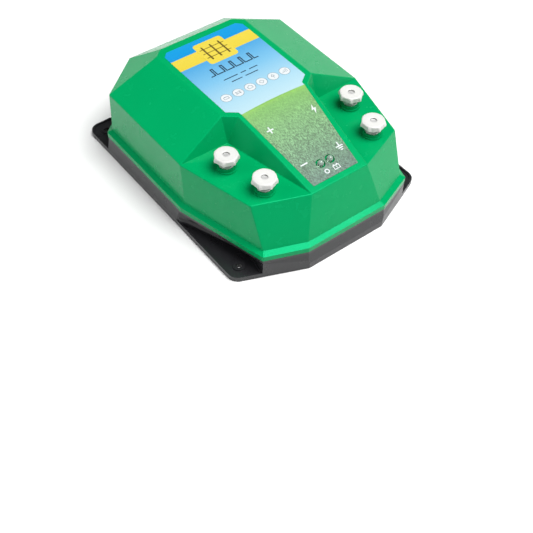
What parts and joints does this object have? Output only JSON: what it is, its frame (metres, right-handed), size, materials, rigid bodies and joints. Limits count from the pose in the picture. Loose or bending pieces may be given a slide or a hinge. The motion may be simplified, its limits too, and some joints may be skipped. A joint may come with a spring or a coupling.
{
  "type": "electric fence energizer",
  "caption": "Battery and mains-adapter fence energizer: faceted moulded cover on a flanged wall tray, star-knob screw terminals on sunken decks, label panel and status lamps.",
  "frame": {"origin": "centre of the mounting face, under the middle of the overall outline", "axes": "+Z away from the wall or table, +Y to the wide end of the label, -Y to the nose with the status lamps, +X to the right-hand (fence) terminals"},
  "size_m": [0.182, 0.2298, 0.0811],
  "materials": {
    "cover_green": "satin moulded plastic, light orange-peel texture",
    "base_black": "satin moulded plastic",
    "knob_white": "moulded plastic",
    "label_film": "printed film, satin",
    "seal_rubber": "matt",
    "zinc_steel": "bright zinc plated",
    "tinned_copper": "tinned, pressed",
    "lamp_clear": "clear resin",
    "board_green": "solder-resist lacquer",
    "core_steel": "stacked laminations, varnished",
    "ferrite": "sintered, matt",
    "bobbin_nylon": "moulded nylon",
    "copper_winding": "enamelled wire under varnish",
    "winding_tape": "polyester tape",
    "capacitor_blue": "resin-filled case",
    "capacitor_sleeve": "shrunk sleeve",
    "sink_black": "black anodised extrusion",
    "package_black": "moulded resin",
    "block_green": "moulded nylon",
    "wire_red": "insulation",
    "wire_black": "insulation",
    "wire_yellow": "insulation",
    "wire_green": "insulation",
    "wire_grey": "insulation"
  },
  "bodies": {
    "energizer": {"base_tray": "base_black", "board_screws": "zinc_steel", "case_screws": "zinc_steel", "case_seal": "seal_rubber", "charger_bobbin": "bobbin_nylon", "charger_core": "ferrite", "charger_winding": "copper_winding", "charging_transistor": "package_black", "circuit_board": "board_green", "control_chip": "package_black", "device_screws": "zinc_steel", "discharge_thyristor": "package_black", "earth_wire": "wire_green", "fence_wire": "wire_yellow", "fuse": "lamp_clear", "fuse_clips": "tinned_copper", "heat_sink": "sink_black", "input_capacitor": "capacitor_sleeve", "label": "label_film", "lamp_board": "board_green", "lamp_board_screws": "zinc_steel", "lamp_cable": "wire_grey", "negative_wire": "wire_black", "positive_wire": "wire_red", "primary_wire_left": "wire_grey", "primary_wire_right": "wire_grey", "pulse_bobbin": "bobbin_nylon", "pulse_core": "core_steel", "pulse_primary": "copper_winding", "pulse_secondary": "winding_tape", "pulse_strap": "zinc_steel", "pulse_strap_screws": "zinc_steel", "ring_lugs": "tinned_copper", "status_lamp_left": "lamp_clear", "status_lamp_right": "lamp_clear", "storage_capacitor_1": "capacitor_blue", "storage_capacitor_2": "capacitor_blue", "storage_capacitor_3": "capacitor_blue", "storage_capacitor_4": "capacitor_blue", "stud_earth": "zinc_steel", "stud_fence": "zinc_steel", "stud_negative": "zinc_steel", "stud_positive": "zinc_steel", "terminal_nuts": "zinc_steel", "terminal_seals": "seal_rubber", "top_cover": "cover_green", "wire_block": "block_green"},
    "washer_positive": {"clamp_washer_positive": "zinc_steel"},
    "knob_positive": {"knob_positive": "knob_white", "knob_insert_positive": "zinc_steel"},
    "washer_negative": {"clamp_washer_negative": "zinc_steel"},
    "knob_negative": {"knob_negative": "knob_white", "knob_insert_negative": "zinc_steel"},
    "washer_fence": {"clamp_washer_fence": "zinc_steel"},
    "knob_fence": {"knob_fence": "knob_white", "knob_insert_fence": "zinc_steel"},
    "washer_earth": {"clamp_washer_earth": "zinc_steel"},
    "knob_earth": {"knob_earth": "knob_white", "knob_insert_earth": "zinc_steel"}
  },
  "joints": [
    {"name": "lift_positive", "type": "slide", "parent": "energizer", "child": "washer_positive", "axis": [0, 0, 1], "range_m": [0, 0.006]},
    {"name": "turn_positive", "type": "hinge", "parent": "washer_positive", "child": "knob_positive", "pos_m": [-0.0594, -0.0419, 0.0649], "axis": [0, 0, 1], "range_deg": [0, 2160]},
    {"name": "lift_negative", "type": "slide", "parent": "energizer", "child": "washer_negative", "axis": [0, 0, 1], "range_m": [0, 0.006]},
    {"name": "turn_negative", "type": "hinge", "parent": "washer_negative", "child": "knob_negative", "pos_m": [-0.0513, -0.0769, 0.0649], "axis": [0, 0, 1], "range_deg": [0, 2160]},
    {"name": "lift_fence", "type": "slide", "parent": "energizer", "child": "washer_fence", "axis": [0, 0, 1], "range_m": [0, 0.006]},
    {"name": "turn_fence", "type": "hinge", "parent": "washer_fence", "child": "knob_fence", "pos_m": [0.0594, -0.0419, 0.0649], "axis": [0, 0, 1], "range_deg": [0, 2160]},
    {"name": "lift_earth", "type": "slide", "parent": "energizer", "child": "washer_earth", "axis": [0, 0, 1], "range_m": [0, 0.006]},
    {"name": "turn_earth", "type": "hinge", "parent": "washer_earth", "child": "knob_earth", "pos_m": [0.0513, -0.0769, 0.0649], "axis": [0, 0, 1], "range_deg": [0, 2160]}
  ],
  "couplings": [
    {"joint": "lift_positive", "follows": "turn_positive", "m_per_rad": 0.00015915},
    {"joint": "lift_negative", "follows": "turn_negative", "m_per_rad": 0.00015915},
    {"joint": "lift_fence", "follows": "turn_fence", "m_per_rad": 0.00015915},
    {"joint": "lift_earth", "follows": "turn_earth", "m_per_rad": 0.00015915}
  ]
}
